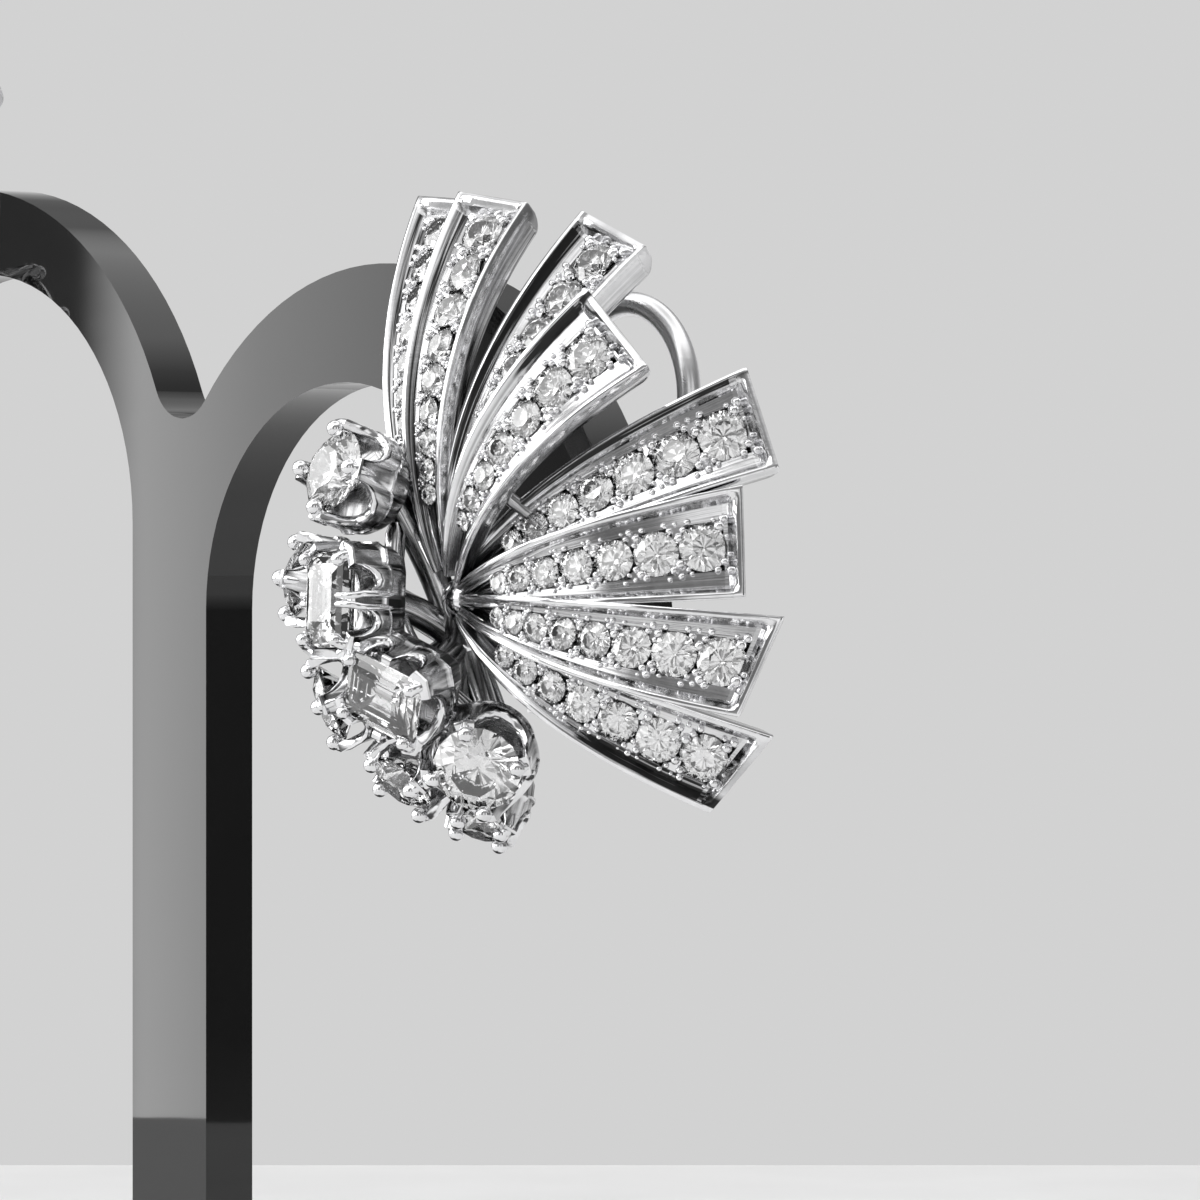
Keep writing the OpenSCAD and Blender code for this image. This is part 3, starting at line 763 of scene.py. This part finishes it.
def cup(bm, stone):
    long, wide = stone_halves(stone)
    top = wide * (0.22 if stone.cut == "round" else 0.12)
    low = wide * 0.65
    reach = CLAW_GAP + SETTING_T
    waist = -0.55 * low
    # Each step of the wall is how far in from the outside it lies, its height, how much of the rim's dip it
    # takes and how much painted shade it takes, most in the hollow under the rim and at the foot
    wall = [
        (SETTING_T, -wide * 0.8 - 0.2, 0, 0.6),
        (SETTING_T, top - 0.1, 1, 0.25),
        (SETTING_T - 0.1, top, 1, 0),
        (0.1, top, 1, 0),
        (-0.02, top - 0.08, 1, 0),
        (-0.04, top - 0.2, 1, 0.1),
        (0.08, top - 0.34, 1, 0.9),
        (0.05, top - 0.7, 0.8, 0.45),
        (0.06, waist - 0.8, 0.35, 0.75),
        (-0.06, waist - 0.95, 0.25, 0.1),
        (-0.06, waist - 1.1, 0.2, 0.1),
        (0.08, waist - 1.25, 0.1, 0.9),
        (0.2, -SETTING_H * 0.82, 0, 0.8),
        (0.5, -SETTING_H * 0.96, 0, 0.9),
        (0.95, -SETTING_H, 0, 1),
    ]
    place = stone_frame(stone)
    rings = []
    for inset, height, share, shade in wall:
        ring = []
        for x, y, dip in cup_columns(stone):
            long_way, wide_way = x * (long + reach - inset), y * (wide + reach - inset)
            ring.append(place @ Vector((long_way, wide_way, height - share * dip * (top + low))))
        rings.append(ring)
    lofted(bm, rings, [[step[3]] * len(rings[0]) for step in wall], fine=0.2)


def rod(bm, points, radii, sides=10, shade=0):
    """A wire through a few points, with a radius at each"""
    points = [Vector(p) for p in points]
    rings = []
    for k, point in enumerate(points):
        run = (points[min(k + 1, len(points) - 1)] - points[max(k - 1, 0)]).normalized()
        turn = run.to_track_quat("Z", "Y")
        angles = [2 * math.pi * n / sides for n in range(sides)]
        rings.append([point + radii[k] * (turn @ Vector((math.cos(a), math.sin(a), 0))) for a in angles])
    lofted(bm, rings, [[shade] * sides] * len(rings), fine=0.4)


ball_shape = bmesh.new()
bmesh.ops.create_uvsphere(ball_shape, u_segments=18, v_segments=11, radius=1)
ball_shape = pattern_of(ball_shape, "ball")


def ball(bm, place, radius):
    stamp(bm, ball_shape, Matrix.Translation(place) @ Matrix.Scale(radius, 4))


def claws(bm, stone):
    """Balled claws: four round a round stone, or at a step cut's corners"""
    long, wide = stone_halves(stone)
    place = stone_frame(stone)
    reach = CLAW_GAP + SETTING_T
    if stone.cut == "round":
        ways = [math.radians(a) for a in (0, 90, 180, 270)]
        edges = [Vector((long * math.cos(a), wide * math.sin(a), 0)) for a in ways]
    else:
        edges = [Vector((x * long * 0.86, y * wide * 0.84, 0)) for x in (-1, 1) for y in (-1, 1)]
    for edge in edges:
        out = edge.normalized()
        # Up the cup's wall, past the stone's edge and in over it
        path = [
            edge + out * (reach - 0.25) + Vector((0, 0, -0.9)),
            edge + out * (reach - 0.22) + Vector((0, 0, -0.1)),
            edge + out * (reach - 0.28) + Vector((0, 0, 0.15 * wide + 0.05)),
            edge + out * 0.08 + Vector((0, 0, 0.27 * wide)),
            edge - out * 0.05 + Vector((0, 0, 0.29 * wide)),
        ]
        rod(bm, [place @ p for p in path], [0.15, 0.27, 0.28, 0.27, 0.22])
        ball(bm, place @ path[-1], 0.4 if stone.cut == "round" else 0.34)


def hooks(bm, stone):
    """A pair of thin wires over the middle of each long side"""
    wide = stone_halves(stone)[1]
    place = stone_frame(stone)
    reach = CLAW_GAP + SETTING_T
    # How far out of the stone's edge the wire runs, and how high, on its way up and over
    bend = [(reach - 0.02, -2.1), (reach + 0.1, -1.6), (reach + 0.1, -0.4), (reach - 0.1, 0.15)]
    bend += [(0.1, 0.42), (-0.3, 0.52), (-0.5, 0.5)]
    for way in (-1, 1):
        for aside in (-0.21, 0.21):
            path = []
            for out, height in bend:
                spread_out = aside * (1.5 if height < 0 else 1)
                path.append(place @ Vector((spread_out, way * (wide + out), height)))
            rod(bm, path, [0.08, 0.18, 0.19, 0.2, 0.19, 0.17, 0.08])


for side in ("right", "left"):
    for k, stone in enumerate(STONES):
        shape = new_shape()
        cup(shape, stone)
        claws(shape, stone)
        # The upright step cut is the one that is turned by a right angle
        if stone.spin == 90:
            hooks(shape, stone)
        piece = make_piece(shape, f"{side}_setting_{k + 1}", white_metal, side, sharp=40)
        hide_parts(f"{side}_frame")


# The cluster's diamonds: six round brilliants and two oblong step cuts with cut corners.
# Their tables are wider than the small ones' and they are cut a little less deep. They lie in their settings
# up to the girdle, under the claws.
LARGE_CUT = Cut(0.54, 0.34, 0.77, 0.8, 0.3)
# Each ring of the step cut is its size as a share of the stone's, and its height as a share of half the width
STEP_RINGS = [(0.46, 0.36), (0.62, 0.33), (0.76, 0.27), (0.9, 0.17), (1, 0.04), (1, 0)]
STEP_RINGS += [(0.81, -0.22), (0.6, -0.44), (0.36, -0.66)]
# The keel's half length and its height, as the same shares
KEEL_LONG = 0.2
KEEL_LOW = -0.86


def step_cut(bm, long, wide, place):
    """A step cut: oblong rings with cut corners, one below the other"""
    points = []
    for share, height in STEP_RINGS:
        x, y = long * share, wide * share
        corner = 0.16 * min(x, y)
        ring = [(sx * x, sy * (y - corner)) for sx in (-1, 1) for sy in (-1, 1)]
        ring += [(sx * (x - corner), sy * y) for sx in (-1, 1) for sy in (-1, 1)]
        points += [bm.verts.new((px, py, height * wide)) for px, py in ring]
    points += [bm.verts.new((px, 0, KEEL_LOW * wide)) for px in (-KEEL_LONG * long, KEEL_LONG * long)]
    made = bmesh.ops.convex_hull(bm, input=points)
    bmesh.ops.delete(bm, geom=made["geom_interior"] + made["geom_unused"], context="VERTS")
    bmesh.ops.transform(bm, matrix=place, verts=bm.verts)


for side in ("right", "left"):
    for k, stone in enumerate(STONES):
        shape = bmesh.new()
        long, wide = stone_halves(stone)
        if stone.cut == "step":
            step_cut(shape, long, wide, stone_frame(stone))
        else:
            brilliant(shape, wide, LARGE_CUT, stone_frame(stone) @ Matrix.Rotation(0.4 * k, 4, "Z"))
        piece = make_piece(shape, f"{side}_cluster_diamond_{k + 1}", diamond, side, sharp=0)
        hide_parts(f"{side}_cluster_stone_{k + 1}")


# The backing: the hub that the rays spring from, the stems of the settings, the cross wires behind
# the rays, and the pad and plinth by which the earring rests on its arm and carries its hinge.
# All of it is wire and plate of the same white metal, soldered into one.
CORE = CLUSTER_REACH * Vector((-0.12, 0.16, -0.2))
# Lumps of solder where wires of the cluster meet
SOLDER = [CLUSTER_REACH * Vector((-0.17, -0.36, -0.24)), CLUSTER_REACH * Vector((0.06, -0.09, -0.8))]
HUB = Vector((0, 1, 0))
HINGE = Vector((1.9, 6.6, -4.6))
STEM_R = 0.75
# How much painted shade the stems and wires of the backing take
STEM_SHADE = 0.6
PLINTH_T = 0.9
BRACKET_W = 3
BRACKET_H = 1.8
BRACKET_FRONT = HINGE.y - BRACKET_H / 2 - 0.4
PAD_END = 5.75
# The share of the rays' length at which the cross wires join them
CROSS_T = 0.42


def stem(bm, start, end, radius):
    """A straight wire with rounded ends"""
    start, end = Vector(start), Vector(end)
    run = (end - start).normalized() * radius
    path = [start - run, start - 0.7 * run, start, end, end + 0.7 * run, end + run]
    rod(bm, path, [0.05 * radius, 0.7 * radius, radius, radius, 0.7 * radius, 0.05 * radius], 14, STEM_SHADE)


def curved_stem(bm, stone):
    """From the core to the middle of a setting's foot, along the setting's own axis at that end"""
    aim = stone_frame(stone).to_3x3() @ Vector((0, 0, 1))
    foot = stone_place(stone) - (SETTING_H - 0.3) * aim
    bend = foot - 1.8 * aim
    path = []
    for k in range(13):
        t = k / 12
        path.append((1 - t) ** 2 * CORE + 2 * t * (1 - t) * bend + t * t * foot)
    rod(bm, path, [0.5 * STEM_R] + [STEM_R] * 11 + [0.9 * STEM_R], 14, STEM_SHADE)


def foot_of(stone):
    return stone_place(stone) - (SETTING_H - 0.5) * (stone_frame(stone).to_3x3() @ Vector((0, 0, 1)))


def gallery(bm, places, radius):
    """A round wire bent smoothly past a few places"""
    path = []
    ends = [places[0] * 2 - places[1]] + places + [places[-1] * 2 - places[-2]]
    for before, start, end, after in zip(ends, ends[1:], ends[2:], ends[3:]):
        for k in range(8):
            t = k / 8
            pull = (end - before) * t + (2 * before - 5 * start + 4 * end - after) * t**2
            path.append(start + (pull + (3 * start - before - 3 * end + after) * t**3) / 2)
    path.append(places[-1])
    # The gallery wire takes a little painted shade
    rod(bm, path, [0.6 * radius] + [radius] * (len(path) - 2) + [0.6 * radius], 12, 0.2)


def under_ray(ray):
    return ray_point(ray, CROSS_T) - wall_at(CROSS_T) * ray_axes(ray, CROSS_T)[1]


for side in ("right", "left"):
    shape = new_shape()
    ball(shape, HUB, 1.2)
    stem(shape, HUB, CORE, STEM_R * 1.3)
    ball(shape, CORE, STEM_R * 1.4)
    for stone in STONES:
        curved_stem(shape, stone)
    for place in SOLDER:
        ball(shape, place, 1)
    for row in ((0, 2, 3, 4), (1, 5, 6, 7)):
        gallery(shape, [foot_of(STONES[k]).lerp(CORE, 0.22) for k in row], 0.5)
    for k in (1, 3, 5):
        stem(shape, under_ray(RAYS[k]), under_ray(RAYS[k + 1]), 0.35)
    pad = [(0, 1, 0), (0, PAD_END - 0.25, 0), (0, PAD_END - 0.07, 0), (0, PAD_END, 0)]
    rod(shape, pad, [1.1, 1.1, 1.03, 0.85], 24)
    back = Vector((HINGE.x, BRACKET_FRONT - PLINTH_T, HINGE.z))
    stem(shape, (0.2, back.y, -0.4), back, STEM_R)
    middle = Matrix.Translation(back + Vector((0, PLINTH_T / 2, 0)))
    size = Matrix.Diagonal((BRACKET_W, PLINTH_T, BRACKET_H, 1))
    plinth = bmesh.ops.create_cube(shape, size=1, matrix=middle @ size)
    edges = list({edge for vert in plinth["verts"] for edge in vert.link_edges})
    bmesh.ops.bevel(shape, geom=edges, offset=0.12, segments=2, profile=0.5, affect="EDGES", material=-1)
    piece = make_piece(shape, f"{side}_backing", white_metal, side)
    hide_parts(f"{side}_frame")


# The clip: a spring loop of round white metal wire that turns on two pins in a small soldered bracket.
# The wire is burnished rather than mirror bright.
clip_metal = marked_material(
    "burnished_metal",
    dark=(0.93, 0.93, 0.94, 1),
    light=(0.98, 0.98, 0.99, 1),
    size=500,
    stretch=6,
    roughness=(0.26, 0.4),
    bump=0.4,
    metallic=1,
)
for side in ("right", "left"):
    refinish(f"{side}_clip", clip_metal)
    refinish(f"{side}_clip_bracket", clip_metal)


# The studio: a plain pale floor that ends a little behind the stand, and a room of soft light round it.
# The camera sees an even grey backdrop in the room's place.
CAMERA_TURN = 50
VIEW = Vector((-math.sin(math.radians(CAMERA_TURN)), math.cos(math.radians(CAMERA_TURN)), 0))
ACROSS = Vector((VIEW.y, -VIEW.x, 0))
FLOOR_BEHIND = 0.1227
FLOOR_SIZE = 0.328

floor_shape = bmesh.new()
centre = VIEW * (FLOOR_BEHIND - FLOOR_SIZE / 2)
floor_place = Matrix.Translation(centre) @ Matrix.Rotation(math.radians(CAMERA_TURN), 4, "Z")
bmesh.ops.create_grid(floor_shape, x_segments=1, y_segments=1, size=FLOOR_SIZE / 2, matrix=floor_place)
floor_mesh = bpy.data.meshes.new("floor")
floor_shape.to_mesh(floor_mesh)
floor_shape.free()
floor = bpy.data.objects.new("floor", floor_mesh)
scene.collection.objects.link(floor)
paper = marked_material(
    "pale_paper",
    dark=(0.77, 0.77, 0.77, 1),
    light=(0.82, 0.82, 0.82, 1),
    size=40,
    stretch=1,
    roughness=(0.5, 0.7),
    bump=0.1,
)
floor_mesh.materials.append(paper)

world = bpy.data.worlds.new("studio")
scene.world = world
world.use_nodes = True
sky = world.node_tree
sky.nodes.clear()


def tone_ramp(source, stops):
    """Grey tones along a value from 0 to 1"""
    return colour_ramp(sky, source, [(position, (tone, tone, tone, 1)) for position, tone in stops])


# The room: the walls' tone by degrees round from the front, and the ceiling's by height
AROUND = [(-180, 0.5), (180, 0.5), (-160, 0.7), (-112, 0.7), (-106, 0.12), (-96, 0.08), (-20, 0.3)]
AROUND += [(-4, 0.9), (14, 0.9), (18, 0.16), (40, 0.25), (44, 1), (60, 1), (64, 0.06), (76, 0.06)]
AROUND += [(80, 1.1), (94, 1.1), (98, 0.1), (150, 0.14), (170, 0.5)]
OVERHEAD = [(0, 0.6), (1, 0.5), (0.44, 0.65), (0.5, 0.25), (0.62, 0.2), (0.75, 0.25), (0.83, 0.4)]
OVERHEAD += [(0.88, 1.3), (0.96, 1.3)]
# Between which heights the walls' tone gives way to the ceiling's, above and below
RISES = (0.58, 0.7)
SINKS = (0.47, 0.44)
# The soft box on the left, by degrees round and by height
BOX_ROUND = [(-180, 0), (180, 0), (-84, 0), (-80, 0.8), (-60, 0.8), (-58, 1), (-26, 1), (-24, 0)]
BOX_UP = [(0, 0), (1, 0), (0.456, 0), (0.464, 1), (0.82, 1), (0.84, 0)]
BOX_STRENGTH = 3.7
# What the plate mirrors in the middle of the box is drawn finer: its falling tone and the dark bars beside it
BARS_FROM = -60
BARS_TO = -44
BARS = [(-60, 1), (-44, 1), (-58.3, 1), (-58, 0), (-54.1, 0), (-53.65, 1), (-52.7, 0.66)]
BARS += [(-51.3, 0.42), (-51, 0), (-49.4, 0), (-49, 1)]
# A round lamp high in front: its direction, its edge as the cosines of two angles from its middle,
# and its strength
LAMP_AT = (-0.05, -0.926, 0.375)
LAMP_EDGE = (0.956, 0.966)
LAMP_STRENGTH = 1.7
BACKDROP = (0.645, 0.645, 0.645, 1)

directions = add_node(sky, "ShaderNodeTexCoord").outputs["Generated"]
split = add_node(sky, "ShaderNodeSeparateXYZ", links={"Vector": directions})
front = add_node(sky, "ShaderNodeMath", {1: -1}, {0: split.outputs["Y"]}, operation="MULTIPLY")
turned = add_node(
    sky, "ShaderNodeMath", links={0: split.outputs["X"], 1: front.outputs[0]}, operation="ARCTAN2"
)
around = add_node(sky, "ShaderNodeMapRange", ranged(-math.pi, math.pi), {"Value": turned.outputs[0]})
height = add_node(sky, "ShaderNodeMapRange", ranged(-1, 1), {"Value": split.outputs["Z"]})
walls = tone_ramp(around.outputs[0], [((turn + 180) / 360, tone) for turn, tone in AROUND])
ceiling = tone_ramp(height.outputs[0], OVERHEAD)
rising = add_node(sky, "ShaderNodeMapRange", ranged(*RISES), {"Value": height.outputs[0]})
sinking = add_node(sky, "ShaderNodeMapRange", ranged(*SINKS), {"Value": height.outputs[0]})
either = add_node(
    sky, "ShaderNodeMath", links={0: rising.outputs[0], 1: sinking.outputs[0]}, operation="MAXIMUM"
)
room = add_node(sky, "ShaderNodeMix", links={"Factor": either.outputs[0]}, data_type="RGBA")
sky.links.new(walls, room.inputs["A"])
sky.links.new(ceiling, room.inputs["B"])
box_round = tone_ramp(around.outputs[0], [((turn + 180) / 360, tone) for turn, tone in BOX_ROUND])
box_up = tone_ramp(height.outputs[0], BOX_UP)
near_bars = add_node(
    sky,
    "ShaderNodeMapRange",
    ranged(math.radians(BARS_FROM), math.radians(BARS_TO)),
    {"Value": turned.outputs[0]},
)
bars_span = BARS_TO - BARS_FROM
bars = tone_ramp(near_bars.outputs[0], [((turn - BARS_FROM) / bars_span, tone) for turn, tone in BARS])
whole_box = add_node(sky, "ShaderNodeVectorMath", links={0: box_round, 1: box_up}, operation="MULTIPLY")
box = add_node(sky, "ShaderNodeVectorMath", links={0: whole_box.outputs[0], 1: bars}, operation="MULTIPLY")
lit = add_node(
    sky, "ShaderNodeVectorMath", {1: (BOX_STRENGTH,) * 3}, {0: box.outputs[0]}, operation="MULTIPLY"
)
lamp_angle = add_node(sky, "ShaderNodeVectorMath", {1: LAMP_AT}, {0: directions}, operation="DOT_PRODUCT")
lamp = add_node(
    sky, "ShaderNodeMapRange", ranged(*LAMP_EDGE, 0, LAMP_STRENGTH), {"Value": lamp_angle.outputs["Value"]}
)
lamped = add_node(sky, "ShaderNodeVectorMath", links={0: lit.outputs[0], 1: lamp.outputs[0]}, operation="ADD")
total = add_node(
    sky, "ShaderNodeVectorMath", links={0: lamped.outputs[0], 1: room.outputs["Result"]}, operation="ADD"
)
light_room = add_node(sky, "ShaderNodeBackground", {"Strength": 1}, {"Color": total.outputs[0]})
backdrop = add_node(sky, "ShaderNodeBackground", {"Color": BACKDROP, "Strength": 1})
seen = add_node(sky, "ShaderNodeLightPath")
chosen = add_node(
    sky,
    "ShaderNodeMixShader",
    links={0: seen.outputs["Is Camera Ray"], 1: light_room.outputs[0], 2: backdrop.outputs[0]},
)
add_node(sky, "ShaderNodeOutputWorld", links={"Surface": chosen.outputs[0]})


def soft_box(name, place, aim, size, power):
    light = bpy.data.lights.new(name, "AREA")
    light.shape = "RECTANGLE"
    light.size, light.size_y = size
    light.energy = power
    hung = bpy.data.objects.new(name, light)
    aimed = (Vector(aim) - Vector(place)).to_track_quat("-Z", "Y").to_matrix().to_4x4()
    hung.matrix_world = Matrix.Translation(place) @ aimed
    scene.collection.objects.link(hung)


soft_box("front_box", (0.1, -0.45, 0.5), (0.02, 0, 0.03), (0.35, 0.25), 0.5)

CAMERA_DISTANCE = 0.35
# The width that the photograph takes in at the hub, and how far the hub lies left of its middle
FIELD_W = 0.05797
ASIDE = 0.150 / 1.2 * FIELD_W
SENSOR_W = 36
view = bpy.data.cameras.new("camera")
view.sensor_fit = "HORIZONTAL"
view.sensor_width = SENSOR_W
view.lens = SENSOR_W * CAMERA_DISTANCE / FIELD_W
view.clip_start = 0.01
camera = bpy.data.objects.new("camera", view)
camera.location = Vector(HUB_PLACE["right"]) - VIEW * CAMERA_DISTANCE + ACROSS * ASIDE
camera.rotation_euler = (math.pi / 2, 0, math.radians(CAMERA_TURN))
scene.collection.objects.link(camera)
scene.camera = camera
